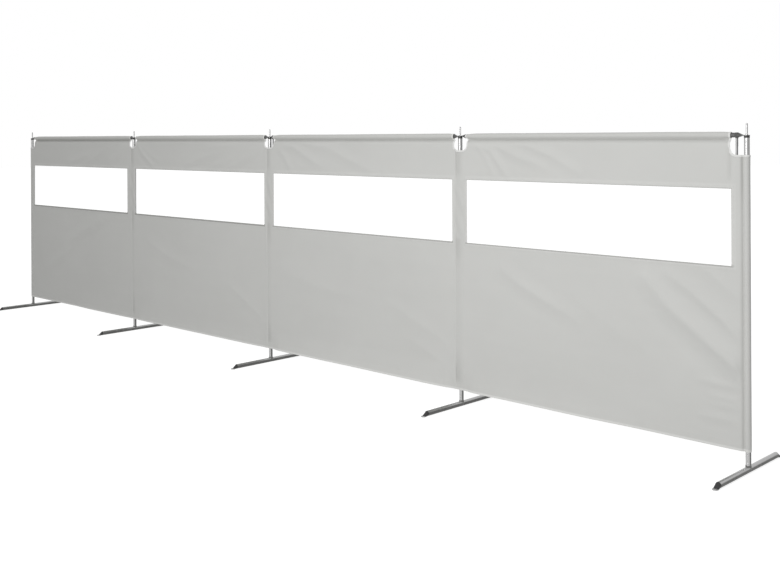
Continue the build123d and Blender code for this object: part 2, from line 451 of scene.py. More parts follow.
toneSet = {  # above 0 lighter, below 0 darker: every darker value is painted shade, and the hem's bottom fold gets a painted highlight
    "hem": 0.08, "hemFoldHighlight": 1.0, "hemFoldHeight": 0.0085, "hemBehind": 0.35, "sleeve": 0.09,
    "groove": (0.50, 0.32, 0.26, 0.20),  # painted shade under the sleeve, in each bay
    # windowHead and windowFoot are painted shade along the windows' top and bottom edges
    "grooveHeight": 0.014, "windowHem": 0.30, "windowHead": -0.30, "windowHeadHeight": 0.003,
    "windowFoot": (-0.80, -0.80, -0.50, -0.50), "windowFootHeight": (0.009, 0.009, 0.007, 0.005),
    "crease": (0.0165, 0.0042, 0.50),  # painted shadow line: from the last post, width, how dark
    # painted shade of a fold: from the last post, width, how dark
    "fold": (0.066, 0.0060, 0.17),
}
stripHalf, thickness = clothSet["stripHalf"], clothSet["thickness"]
seamZ = railZ - clothSet["seamDrop"]
notchFoot = [notchZ + lift for lift in clothSet["notchLift"]]


def windowSides(bay):
    return clothSet["windowLeft"][bay], bayPitch - clothSet["windowRight"][bay]


def besidePost(post, x):  # bay and place in it, x from the post
    return (post - 1, bayPitch + x) if x < 0 else (post, x)


def notchShape(post, side):  # half width, corner radius and the corner's upper end; side -1 is before the post
    s = clothSet
    half = s["edgeRight"][post - 1] if side == -1 else s["edgeLeft"][post]
    corner = s["corners"][2 if post in (0, 4) else (side + 1) // 2]
    return half, corner, notchFoot[post] + corner


def notchTop(post, side, away):  # height of the notch's edge at a distance from the post
    half, corner, arc = notchShape(post, side)
    if away <= half - corner:
        return notchFoot[post]
    return arc - sqrt(max(0.0, corner**2 - (min(away, half) - half + corner) ** 2))


def squeezed(z, top, arc):  # draws the uppermost levels to the notch
    base = notchZ - clothSet["squeeze"]
    return z if z <= base else base + (z - base) * (top - base) / (arc - base)


# Folds in each bay, in millimetres: x and z by turns along the ridge, its half width and height

foldDepth = 1.6
folds = {
    0: [
        ([600, 1165, 800, 1205, 980, 1245], 22, 2.2),
        ([820, 1150, 1000, 1212, 1160, 1285], 19, 2.5),
        ([1150, 1160, 1300, 1225, 1420, 1300], 19, 2),
        ([550, 540, 850, 665, 1160, 800], 30, 3),
        ([250, 330, 500, 450, 750, 560], 30, 2.2),
        ([950, 660, 1150, 770], 22, 1.6),
    ],
    1: [
        ([75, 1300, 118, 1253, 200, 1199, 290, 1145], 18, 3.4),
        ([120, 1305, 220, 1240, 330, 1190], 18, 1.8),
        ([640, 1165, 800, 1214, 1040, 1270], 20, 2.5),
        ([860, 1280, 1080, 1306], 18, 1.7),
        ([1060, 1145, 1185, 1182, 1345, 1245, 1430, 1300], 19, 2.8),
        ([900, 1150, 1060, 1190, 1240, 1250], 18, 1.8),
        ([200, 640, 420, 560, 700, 500], 32, 1.6),
        ([1120, 420, 1300, 330, 1450, 250], 25, 1.6),
    ],
    2: [
        ([130, 1300, 236, 1296, 350, 1240, 480, 1184], 20, 3.1),
        ([90, 1290, 160, 1225, 215, 1150], 18, 2.1),
        ([330, 1310, 515, 1298, 690, 1232, 880, 1168], 23, 2.5),
        ([1000, 470, 1180, 400, 1345, 340, 1450, 285], 28, 1.2),
        ([1150, 300, 1300, 240, 1450, 180], 24, 0.7),
        ([150, 560, 420, 500, 760, 470], 40, 1.4),
    ],
    3: [
        ([80, 1305, 128, 1300, 182, 1240, 230, 1150], 15, 2.2),
        ([130, 1310, 205, 1278, 248, 1228, 302, 1160], 16, 3.6),
        ([180, 1310, 245, 1302, 372, 1254, 522, 1210], 18, 3.4),
        ([300, 1312, 412, 1312, 570, 1257, 712, 1186], 19, 3.4),
        ([1436, 1300, 1435, 1230, 1433, 1145], 8, -3),
        ([277, 706, 378, 649, 494, 599, 693, 520], 28, 3.4),
        ([1051, 739, 1155, 634, 1256, 562, 1353, 492, 1465, 415, 1600, 330], 36, 8.4),
        ([1147, 773, 1248, 711, 1337, 646, 1410, 592, 1469, 528, 1560, 450], 24, 4.4),
        ([1290, 815, 1350, 786, 1478, 688], 18, 2),
        ([1300, 345, 1387, 338, 1468, 331], 13, 1.9),
        ([1352, 287, 1468, 279], 11, 1.4),
        ([1370, 254, 1468, 251], 11, 1.2),
        ([1299, 200, 1451, 195], 15, 1.7),
        ([700, 610, 930, 480, 1100, 400], 34, 1),
    ],
}
folds = {
    bay: [
        ([(x / 1000, z / 1000) for x, z in zip(line[::2], line[1::2])], width / 1000, height / 1000)
        for line, width, height in rows
    ]
    for bay, rows in folds.items()
}

# Each bay swings forward at the bottom: from, to, up to, how far
flares = [(0.70, 1.60, 0.20, 0.004), (-0.1, 1.60, 0.19, 0.007), (-0.1, 1.60, 0.20, 0.011), (-0.1, 1.05, 0.19, 0.010)]


def ripple(*place):
    return noise.noise(Vector(place))


def smooth(low, high, value):
    t = min(1.0, max(0.0, (value - low) / (high - low)))
    return t * t * (3 - 2 * t)


def spread(first, last, count):
    return [first + (last - first) * i / count for i in range(count + 1)]


def bell(away, width):
    return exp(-((away / width) ** 2))


def foldHeight(line, width, height, x, z):
    best, lift = 1.0, 0.0
    total = sum(dist(a, b) for a, b in zip(line, line[1:]))
    gone = 0.0
    for a, b in zip(line, line[1:]):
        long = dist(a, b)
        t = ((x - a[0]) * (b[0] - a[0]) + (z - a[1]) * (b[1] - a[1])) / long**2
        held = min(1.0, max(0.0, t))
        away = dist((x, z), (a[0] + held * (b[0] - a[0]), a[1] + held * (b[1] - a[1])))
        if away < best:
            best = away
            place = (gone + held * long) / total
            lift = height * (0.25 + 0.75 * sin(pi * (0.12 + 0.80 * place)))
        gone += long
    if best > 5 * width:
        return 0.0
    ridge = 1 / (1 + (best / width) ** 2) ** 1.5
    hollow = 0.25 * bell(best - 2.3 * width, width)
    return lift * (ridge - hollow)


def slack(bay, x, z):  # how far the cloth stands before its plane
    total = 0.0
    for line, width, height in folds[bay]:
        total += foldDepth * foldHeight(line, width, height, x, z)
    start, end, top, reach = flares[bay]
    if z < top:
        swing = smooth(start, start + 0.25, x) * (1 - smooth(end - 0.35, end, x))
        total += reach * swing * ((top - z) / 0.11) ** 1.6
    place = Vector((x * 2.2 + bay * 7.3, z * 2.0, bay * 3.1))
    total += 0.0026 * noise.noise(place) + 0.0011 * noise.noise(place * 2.7)
    return total


def calm(bay, x, z):  # keeps the cloth flat at its sewn edges
    right = bayPitch - x
    left = smooth(0.02, 0.07, x) if bay == 0 else smooth(stripHalf, 0.10, x)
    right = smooth(0.016, 0.05, right) if bay == 3 else smooth(stripHalf, 0.10, right)
    top = 1 - smooth(seamZ - 0.035, seamZ, z)
    nearWindow = 0.55 + 0.45 * min(1.0, max(windowLow - z, z - windowHigh, 0.0) / 0.03)
    return left * right * top * nearWindow


def bandY(z):
    t = min(1.0, max(0.0, (seamZ - z) / clothSet["slope"]))
    return clothSet["plane"] + (clothSet["seamY"] - clothSet["plane"]) * (1 - t) ** 2


def windowAway(bay, x, z):  # how far outside the window's opening, below 0 inside
    left, right = windowSides(bay)
    return max(left - x, x - right, windowLow - z, z - windowHigh)


def hemStep(bay, x, z):  # the turned hems stand a little proud
    s = clothSet
    reach, away = s["windowHem"], windowAway(bay, x, z)
    turn = 0.0013 if windowLow - z > away - 1e-6 else -0.0012  # the lower edge curls forward
    step = 0.0009 * (1 - smooth(reach - 0.002, reach + 0.002, away)) + turn * (1 - smooth(0.0, 0.005, away))
    return step + 0.0005 * (1 - smooth(hemZ + s["hem"] - 0.002, hemZ + s["hem"] + 0.002, z))


def clothPoint(bay, x, z):
    forward = calm(bay, x, z) * slack(bay, x, z) + hemStep(bay, x, z)
    return Vector((postX[bay] + x, bandY(z) - forward, z))


def toneAndShadeAt(bay, x, z):  # the cloth's tone, with painted shade and a painted highlight on the hem's bottom fold
    s = toneSet
    # painted highlight on the hem's bottom fold
    if z < hemZ + s["hemFoldHeight"]:
        return s["hemFoldHighlight"]
    # painted shade round the rail and in the groove under the sleeve
    if z > seamZ - s["grooveHeight"]:
        return -(s["sleeve"] + s["groove"][bay]) * smooth(seamZ - s["grooveHeight"], seamZ, z)
    away = windowAway(bay, x, z)
    if away < clothSet["windowHem"]:
        # painted shade along the window's bottom edge, and at its top edge
        if away < s["windowFootHeight"][bay] + 1e-4 and z < windowLow + 1e-4:
            return s["windowFoot"][bay]
        atHead = away < s["windowHeadHeight"] + 1e-4 and z > windowHigh - 1e-4
        return s["windowHead"] if atHead else s["windowHem"]
    # painted shadow line beside the last post and painted shade of a fold in the band
    if bay == 3:
        (creaseX, creaseWidth, creaseDark), (foldX, foldWidth, foldDark) = s["crease"], s["fold"]
        beside = 0.4 + 0.6 * smooth(windowHigh - 0.1, windowHigh + 0.05, z)
        crease = bell(bayPitch - x - creaseX, creaseWidth) * beside
        fold = bell(bayPitch - x - foldX, foldWidth) * smooth(windowHigh + 0.02, windowHigh + 0.06, z)
        return -creaseDark * crease - foldDark * fold
    return s["hem"] if z < hemZ + clothSet["hem"] else 0.0


def steps(marks, pitch):
    stops = [marks[0]]
    for low, high in zip(marks, marks[1:]):
        count = max(1, round(abs(high - low) / pitch))
        stops += [low + (high - low) * (i + 1) / count for i in range(count)]
    return stops


def levels():
    s = clothSet
    marks = [hemZ] + [hemZ + up for up in (0.0015, 0.004, 0.008, 0.012, s["hem"])]
    marks += [windowLow - low for low in (s["windowHem"], 0.011, 0.009, 0.007, 0.005, 0.0015, 0.0)]
    marks += [windowHigh + up for up in (0.0, 0.0015, 0.003, 0.005, s["windowHem"])]
    arcs = {round(notchShape(post, side)[2], 5) for post in range(5) for side in (-1, 1) if 0 <= post + side <= 4}
    return steps(marks + [notchZ - s["squeeze"]] + sorted(arcs) + [seamZ], s["pitch"])


def columns(bay, start, end):
    (left, right), hem = windowSides(bay), clothSet["windowHem"]
    marks = [left - away for away in (hem, 0.005, 0.0015, 0.0)] + [right + away for away in (0.0, 0.0015, 0.005, hem)]
    return steps([start] + [m for m in marks if start + 0.0005 < m < end - 0.0005] + [end], clothSet["pitch"])


def sleeveRing():  # (y, z) from the seam up the back and down the front
    radius = sleeveSet["radius"]
    centre = Vector((0.0, railZ - sleeveSet["drop"]))
    seam = Vector((clothSet["seamY"], seamZ))
    way = atan2(seam.y - centre.y, seam.x - centre.x)
    half = acos(radius / (seam - centre).length)
    start, end = way + half, way - half + 2 * pi
    ring = [centre + radius * Vector((cos(a), sin(a))) for a in spread(start, end, 26)]
    back = [seam.lerp(ring[0], t) for t in (0.0, 0.33, 0.67)]
    front = [ring[-1].lerp(seam, t) for t in (0.33, 0.67)]
    back[0] = back[0] + Vector((0.0012, 0.0))
    return back + ring + front


class Sheet:  # points on a grid, shared by the faces that are kept
    def __init__(self):
        self.points, self.cuts, self.layers, self.faces, self.found = [], [], [], [], {}

    def point(self, place, cut, layer=0.0):
        key = (round(place[0], 6), round(place[1], 6), round(place[2], 6))
        if key not in self.found:
            self.found[key] = len(self.points)
            self.points.append(tuple(place))
            self.cuts.append(cut)
            self.layers.append(layer)
        return self.found[key]

    def grid(self, rows, keep=lambda i, j: True):
        for i, j in product(range(len(rows) - 1), range(len(rows[0]) - 1)):
            corners = dict.fromkeys([rows[i][j], rows[i][j + 1], rows[i + 1][j + 1], rows[i + 1][j]])
            if keep(i, j) and len(corners) > 2:
                self.faces.append(list(corners))

    def make(self, name, look, thickness):
        mesh = bpy.data.meshes.new(name)
        mesh.from_pydata(self.points, [], self.faces)
        layer = mesh.uv_layers.new(name="cut")
        for loop in mesh.loops:
            layer.data[loop.index].uv = self.cuts[loop.vertex_index]
        mesh.attributes.new("layers", "FLOAT", "POINT").data.foreach_set("value", self.layers)
        mesh.shade_smooth()
        mesh.materials.append(look)
        mesh.validate()
        piece = placed(name, mesh)
        wall = piece.modifiers.new("thickness", "SOLIDIFY")
        wall.thickness, wall.offset = thickness, 0.0
        bake(piece)
        piece.data.set_sharp_from_angle(angle=radians(50))
        return piece


def bake(piece):  # keeps the modifiers' result
    done = bpy.data.meshes.new_from_object(piece.evaluated_get(bpy.context.evaluated_depsgraph_get()))
    piece.modifiers.clear()
    before, piece.data = piece.data, done
    bpy.data.meshes.remove(before)
    done.name = piece.name


def wrapPlan(side):  # the cloth round an end post, from its axis
    r = clothSet["wrapRadius"]
    plan = [(0.026, -0.0134), (0.0205, -0.0120), (0.0172, -0.0092), (0.0152, -0.0070)]
    first, last = atan2(-0.0068, 0.0114), atan2(0.0050, 0.0123) - 2 * pi
    plan += [(r * cos(a), r * sin(a)) for a in spread(first, last, 30)]
    plan += [(0.0150, -0.0010), (0.0178, -0.0055)]
    return [(side * x, y) for x, y in plan]


def sleevePoint(bay, x, y, z):  # the sleeve is drawn in to the rail at its ends
    s, seamY = sleeveSet, clothSet["seamY"]
    left, right = x - clothSet["edgeLeft"][bay], bayPitch - clothSet["edgeRight"][bay] - x
    tight = 1 - smooth(0.0, s["tighten"], min(left, right))
    away = Vector((y, z - railZ))
    if z > railZ - 0.004:
        near = away * (s["endRadius"] / away.length)
    else:  # under the rail the two walls meet
        middle = seamY * smooth(railZ, seamZ, z)
        width = max(sqrt(max(0.0, s["endRadius"] ** 2 - away.y**2)), thickness)
        near = Vector((middle + copysign(width, y - middle), away.y))
    held = away.lerp(near, tight * smooth(seamZ, seamZ + 0.002, z))
    sink = s["sink"] * (1 - smooth(-0.005, 0.050, left)) if z > railZ else 0.0
    reach = s["reach"] * smooth(seamZ + 0.008, seamZ + 0.018, z) * (1 - smooth(0.0, s["fade"], left))
    short = s["short"] * smooth(seamZ, seamZ + 0.010, z) * (1 - smooth(0.0, s["fade"], right)) if bay in (1, 2) else 0.0
    return Vector((postX[bay] + x - reach - short, held.x, railZ + held.y - sink))


def sleeveShadeTone(bay, z):  # painted shade: darker round the rail, most of all in the groove under the sleeve
    top = railZ - sleeveSet["drop"] + 0.008
    return -toneSet["sleeve"] - toneSet["groove"][bay] * (1 - smooth(seamZ + 0.002, top, z))


def turnedHem(sheet, point, xs):  # the hem's second layer, behind, and its fold at the bottom
    s = clothSet
    rows = []
    behind = Vector((0, s["hemLayer"], 0))
    for k in range(6):
        z = hemZ + s["hem"] - 0.0015 - k * (s["hem"] - 0.004) / 5
        cutZ = z - 2 * hemZ - 0.2
        rows.append([sheet.point(point(x, z) + behind, (x, cutZ), toneSet["hemBehind"]) for x in xs])
    fold = Vector((0, 0.0012, -0.0006))
    # the fold carries the painted highlight
    rows.append([sheet.point(point(x, hemZ + 0.001) + fold, (x, -hemZ), toneSet["hemFoldHighlight"]) for x in xs])
    return rows


def besideWindow(bay, across, up, first=0):  # leaves the window open
    def kept(i, j):
        if i < first:
            return True
        x, z = (across[j] + across[j + 1]) / 2, (up[i - first] + up[i - first + 1]) / 2
        return windowAway(bay, x, z) > 0

    return kept


def addSleeve(sheet, bay, xs, row, far):  # from its front seam to the back
    rows, before = [row], (clothSet["seamY"], seamZ)
    centre = railZ - sleeveSet["drop"]
    for y, z in sleeveRing()[::-1]:
        far += dist(before, (y, z))
        before = (y, z)
        line = []
        for x in xs:
            puff = 0.0007 * ripple(x * 5 + bay * 9, far * 40, 1.7)
            puff += 0.0003 * ripple(x * 22, far * 60, bay)
            grow = 1 + puff / max(dist((0, centre), (y, z)), 0.008) * smooth(0, 0.004, abs(z - seamZ))
            place = sleevePoint(bay, x, y * grow, centre + (z - centre) * grow)
            line.append(sheet.point(place, (x, far), sleeveShadeTone(bay, z)))
        rows.append(line)
    sheet.grid(rows)


def addSide(sheet, bay, side, half, heights):  # beside a notch, round an end post or up to a strip
    number = bay if side == 1 else bay + 1
    isEnd = number in (0, 4)
    near = clothSet["wrapStart"] if isEnd else stripHalf
    if half - near < 0.001:
        return
    flat = columns(bay, near, half)[::-1] if side == 1 else columns(bay, bayPitch - half, bayPitch - near)
    flat = flat if side == 1 else [x - bayPitch for x in flat]
    plan = [(x, None) for x in flat] + (wrapPlan(side) if isEnd else [])
    along = [x if side == 1 else bayPitch + x for x, y in plan]
    arc = notchShape(number, side)[2]
    low = [z for z in heights if z <= arc + 1e-5]
    rows = []
    for z in low:
        line, far = [], half
        for k, (x, y) in enumerate(plan):
            height = squeezed(z, notchTop(number, side, side * x) if y is None else notchFoot[number], arc)
            place = clothPoint(bay, along[k], height)
            if y is not None:
                loose = 1.0 if k > len(flat) + 4 else 0.3
                grow = 1 + 0.024 * loose * ripple(height * 9.0, k * 0.1, bay)
                offset = place.y - bandY(height) if k < len(flat) + 4 else 0.0
                place = Vector((postX[number] + x * grow, y * grow + offset, height))
            if k:
                far -= dist((place.x, place.y), previous)
            previous = (place.x, place.y)
            cut = (far if side == 1 else bayPitch - far, z)
            line.append(sheet.point(place, cut, toneAndShadeAt(bay, along[k], height)))
        rows.append(line)
    clear, last = besideWindow(bay, along, low), len(plan) - 2

    def kept(i, j):
        k = last - j if side == 1 else j
        return k >= len(flat) - 1 or clear(i, k)

    sheet.grid([line[::-1] for line in rows] if side == 1 else rows, kept)


def makeBay(bay):
    s = clothSet
    sheet = Sheet()
    left, right = s["edgeLeft"][bay], s["edgeRight"][bay]
    xs, heights = columns(bay, left, bayPitch - right), levels()
    rows = turnedHem(sheet, lambda x, z: clothPoint(bay, x, z), xs)
    hemRows = len(rows)
    for z in heights:
        rows.append([sheet.point(clothPoint(bay, x, z), (x, z), toneAndShadeAt(bay, x, z)) for x in xs])
    sheet.grid(rows, besideWindow(bay, xs, heights, hemRows))
    addSleeve(sheet, bay, xs, rows[-1], heights[-1])
    addSide(sheet, bay, 1, left, heights)
    addSide(sheet, bay, -1, right, heights)

    piece = sheet.make(f"bayCloth{bay + 1}", looks["cloth"], s["thickness"])
    wrapped = bay in (0, 3)
    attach(piece, bays[bay])
    hidden = [f"upper_band_{bay + 1}", f"lower_panel_{bay + 1}"]
    hidden += [f"post_pocket_{1 if bay == 0 else 5}"] if wrapped else []
    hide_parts(*hidden)
    return piece


bayCloth = [makeBay(bay) for bay in range(4)]
print("bay cloths:", [len(p.data.polygons) for p in bayCloth])


# Pockets at the middle posts: a strip before the post and a layer round its back

pocketSet = {
    "seamLeft": {1: (-0.020, 0.002), 2: (-0.012, -0.008), 3: (-0.020, -0.023)},  # at the top and the bottom
    "seamRight": 0.0235, "dip": 0.0030, "groove": 0.0020, "shade": 0.30,
    "front": -0.0121,  # the cloth before the post stays in front of this
    "backRadius": 0.0132, "backWidth": 0.080, "pitch": 0.0025, "backPitch": 0.019,
}


def seamLine(post, z):
    top, bottom = pocketSet["seamLeft"][post]
    return bottom + (top - bottom) * (z - hemZ) / (notchZ - hemZ)


def markedness(z):  # the seam shows most in the band, under the window and at the bottom
    underWindow = smooth(windowLow - 0.16, windowLow - 0.02, z) * (1 - smooth(windowLow, windowLow + 0.03, z))
    atBottom = (1 - smooth(0.14, 0.30, z)) * smooth(hemZ + 0.010, hemZ + 0.06, z)
    inBand = 0.9 * smooth(windowHigh, windowHigh + 0.05, z)
    return 0.30 + 0.70 * max(underWindow, atBottom, inBand)


def stripPoint(post, x, z):  # x from the post's axis
    s, half = pocketSet, stripHalf
    seam, strong = seamLine(post, z), markedness(z)
    rise = smooth(seam - 0.005, seam, x) * (1 - smooth(seam, half, x) ** 0.8 if x > seam else 1.0)
    back = s["dip"] * rise * strong + s["groove"] * strong * bell(x - seam, 0.0026)
    back += 0.0008 * bell(x - s["seamRight"], 0.0024)
    wave = 0.0012 * ripple(x * 22, z * 5.5, post * 5.0)
    beside = smooth(windowLow, windowLow + 0.05, z) * (1 - smooth(windowHigh - 0.05, windowHigh, z))
    wave += 0.0016 * sin((z * 46 + x * 90) + post) * beside
    edge = 1 - smooth(half - 0.010, half - 0.0008, abs(x))
    y = bandY(z) + (back - wave - 0.0006) * edge
    y = min(y, s["front"]) if abs(x) < 0.012 else y
    return Vector((postX[post] + x, y - hemStep(*besidePost(post, x), z), z))


def postShade(post, x, z):  # painted shade: no light shines through the post inside
    seam = seamLine(post, z)
    across = smooth(seam - 0.003, seam + 0.001, x) * (1 - smooth(seam + 0.004, stripHalf + 0.004, x))
    return pocketSet["shade"] * across * markedness(z)


def makeStrip(post):
    half, seam = stripHalf, seamLine(post, 0.7)
    xs = steps(sorted({-half, -0.030, seam - 0.004, seam + 0.004, 0.0, 0.020, 0.028, half}), pocketSet["pitch"])
    arc = max(notchShape(post, -1)[2], notchShape(post, 1)[2])
    sheet = Sheet()

    def point(x, z):
        height = squeezed(z, notchTop(post, -1 if x < 0 else 1, abs(x)), arc)
        tone = toneAndShadeAt(*besidePost(post, x), height) - postShade(post, x, height)
        return sheet.point(stripPoint(post, x, height), (x, z), tone)

    rows = turnedHem(sheet, lambda x, z: stripPoint(post, x, z), xs)
    sheet.grid(rows + [[point(x, z) for x in xs] for z in levels() if z <= arc + 1e-5])
    return sheet.make(f"pocketFront{post + 1}", looks["cloth"], thickness), arc


def makeBack(post):
    s = pocketSet
    behind = Vector((0, 0.0011, 0))
    sheet = Sheet()
    rows = []
    for z in steps([hemZ + 0.001, notchFoot[post]], s["backPitch"]):
        seam = seamLine(post, z)
        start, end = stripPoint(post, seam, z) + behind, stripPoint(post, s["seamRight"], z) + behind
        r = s["backRadius"] + 0.0006 * ripple(z * 8, post, 2)
        first, last = pi * (0.94 if -0.014 <= seam <= 0 else 1.09), -pi * 0.12
        plan = [(start.x - postX[post], start.y)] + [(r * cos(a), r * sin(a)) for a in spread(first, last, 24)]
        plan += [(end.x - postX[post], end.y)]
        far, line = 0.0, []
        for i, (x, y) in enumerate(plan):
            far += dist(plan[max(0, i - 1)], (x, y))
            line.append(sheet.point((postX[post] + x, y, z), (far, z)))
        rows.append(line[::-1])
    sheet.grid(rows)
    return sheet.make(f"pocketBack{post + 1}", looks["cloth"], thickness)


def turnWith(piece, post):  # bakes the piece's placement into its mesh
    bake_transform(piece)


for post in (1, 2, 3):
    strip, arc = makeStrip(post)
    sizes = {
        strip: (2 * stripHalf, arc - hemZ + clothSet["hem"]),
        makeBack(post): (pocketSet["backWidth"], notchFoot[post] - hemZ),
    }
    for piece, flat in sizes.items():
        turnWith(piece, post)
    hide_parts(f"post_pocket_{post + 1}")
print("pockets made")


# Clear windows

filmSet = {"lap": 0.008, "behind": 0.0012, "thickness": 0.0003, "pitch": 0.022, "wave": 0.0012}


def makeFilm(bay):
    s = filmSet
    left, right = windowSides(bay)[0] - s["lap"], windowSides(bay)[1] + s["lap"]
    low, high = windowLow - s["lap"], windowHigh + s["lap"]
    sheet = Sheet()

    def point(x, z):
        free = smooth(0, 0.06, min(x - left, right - x)) * smooth(0, 0.05, min(z - low, high - z))
        wave = s["wave"] * free * ripple(x * 3.5, z * 6.0, bay * 4.0 + 0.5)
        return sheet.point((postX[bay] + x, clothSet["plane"] + s["behind"] + wave, z), (x, z))

    sheet.grid([[point(x, z) for x in steps([left, right], s["pitch"])] for z in steps([low, high], s["pitch"])])
    piece = sheet.make(f"windowFilm{bay + 1}", looks["film"], s["thickness"])
    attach(piece, bays[bay])
    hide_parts(f"window_{bay + 1}")


for bay in range(4):
    makeFilm(bay)
print("windows made")


# Webbing straps on the rails

strapSet = {
    "width": 0.0112, "thickness": 0.0006, "radius": 0.0104, "lead": -0.001,
    "joined": 0.0135,  # below the rail's axis, where the strap's two ends meet
    "end": 0.046, "aside": {"rail_strap_3": -0.008},
}


def makeStrap(node, body):
    s = strapSet
    low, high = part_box(node)
    middle = (low.x + high.x) / 2 + s["aside"].get(node, 0.0)
    r = s["radius"]
    path = [(s["lead"] - s["thickness"], z) for z in steps([low.z, railZ - s["joined"]], 0.004)]
    path += [(r * cos(a), railZ + r * sin(a)) for a in spread(radians(258), radians(-78), 22)]
    path += [(s["lead"] + 0.0008, railZ - s["joined"])]
    path += [(s["lead"] + 0.0009, railZ - drop) for drop in (0.030, s["end"])]
    sheet = Sheet()
    rows, far = [], 0.0
    for i, (y, z) in enumerate(path):
        far += dist(path[max(0, i - 1)], (y, z))
        rows.append([sheet.point((middle + (k / 6 - 0.5) * s["width"], y, z), (far, k / 6)) for k in range(7)])
    sheet.grid(rows)
    piece = sheet.make(f"railStrap{node[-1]}", looks["strap"], s["thickness"])
    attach(piece, body)
    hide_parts(node)


makeStrap("rail_strap_3", "bay_3")
makeStrap("rail_strap_5", "bay_4")
print("straps made")


# Binding tape. A path is a list of (place on the cloth's edge, way into the cloth, way it faces)

bindingSet = {"width": 0.0075, "stand": 0.0010, "thickness": 0.0006, "pitch": 0.003, "wrapFrom": 0.034}


def sidePath(bay, side):  # over the sleeve's end and down the notch's side
    half, _, arc = notchShape(bay if side == 1 else bay + 1, side)
    x = half if side == 1 else bayPitch - half
    places = [sleevePoint(bay, x, y, z) for y, z in sleeveRing()]
    places += [clothPoint(bay, x, z) for z in steps([seamZ, arc], 0.004)]
    path = []
    for k, place in enumerate(places):
        way = places[min(k + 1, len(places) - 1)] - places[max(k - 1, 0)]
        path.append((place, Vector((side, 0, 0)), Vector((0, way.z, -way.y)).normalized()))
    return path


def edgePoint(post, x, z):  # on the cloth, x from the post
    if 0 < post < 4 and abs(x) < stripHalf:
        return stripPoint(post, x, z)
    return clothPoint(*besidePost(post, x), z)


def cornerPath(post, side):  # from the straight side down to the notch's foot
    half, corner, arc = notchShape(post, side)
    path = []
    for a in spread(0, pi / 2, 12)[1:]:
        x, z = half - corner + corner * cos(a), arc - corner * sin(a)
        path.append((edgePoint(post, side * x, z), Vector((side * cos(a), 0, -sin(a))), frontward))
    return path


def footPath(post, places):  # along the notch's foot
    return [(edgePoint(post, x, notchFoot[post]), downward, frontward) for x in places]


def wrapPath(post, side):  # on from the foot, round an end post
    foot = notchFoot[post]
    plan = [(side * bindingSet["wrapFrom"], clothSet["plane"])] + wrapPlan(side)
    plan = [(x, y + (edgePoint(post, x, foot).y - bandY(foot) if k < 5 else 0.0)) for k, (x, y) in enumerate(plan)]
    path = []
    for k, (x, y) in enumerate(plan):
        ahead, behind = plan[min(k + 1, len(plan) - 1)], plan[max(k - 1, 0)]
        tangent = Vector((ahead[0] - behind[0], ahead[1] - behind[1], 0)).normalized()
        path.append((Vector((postX[post] + x, y, foot)), downward, Vector((tangent.y, -tangent.x, 0)) * (-side)))
    return path


def makeBinding(post, path):
    s = bindingSet
    width, stand, fold = s["width"], s["stand"], 0.0008
    front = [(width, stand), (width * 0.5, stand * 1.15), (fold / 2, stand), (-fold, stand * 0.5)]
    section = front + [(a, -b) for a, b in front[::-1]]
    sheet = Sheet()
    rows, far = [], 0.0
    for i, (place, inward, out) in enumerate(path):
        far += (place - path[max(0, i - 1)][0]).length
        rows.append([sheet.point(place + inward * a + out * b, (far, k / 7)) for k, (a, b) in enumerate(section)])
    sheet.grid(rows)
    piece = sheet.make(f"notchBinding{post + 1}", looks["binding"], s["thickness"])
    return piece


bindingPaths = {}
for post in (1, 2, 3):
    before, after = notchShape(post, -1), notchShape(post, 1)
    foot = footPath(post, steps([before[1] - before[0], after[0] - after[1]], bindingSet["pitch"])[1:-1])
    path = sidePath(post - 1, -1) + cornerPath(post, -1) + foot + cornerPath(post, 1)[::-1] + sidePath(post, 1)[::-1]
    bindingPaths[post] = path
    turnWith(makeBinding(post, path), post)

for post, bay, side in ((0, 0, 1), (4, 3, -1)):
    half, corner, arc = notchShape(post, side)
    places = [side * away for away in steps([half - corner, bindingSet["wrapFrom"]], bindingSet["pitch"])[1:-1]]
    path = sidePath(bay, side) + cornerPath(post, side) + footPath(post, places) + wrapPath(post, side)
    bindingPaths[post] = path
    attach(makeBinding(post, path), bays[bay])
print("bindings made")


# Stitches and weld beads: one small rounded body, repeated along each path

stitchSet = {"pitch": 0.0052, "length": 0.0038, "width": 0.00075, "height": 0.0006}
stitchSet.update({"rounds": 1, "wander": 0.12, "seed": 7})
weldSet = {"pitch": 0.0016, "length": 0.0030, "width": 0.0030, "height": 0.0026}
weldSet.update({"rounds": 2, "wander": 0.10, "seed": 11})


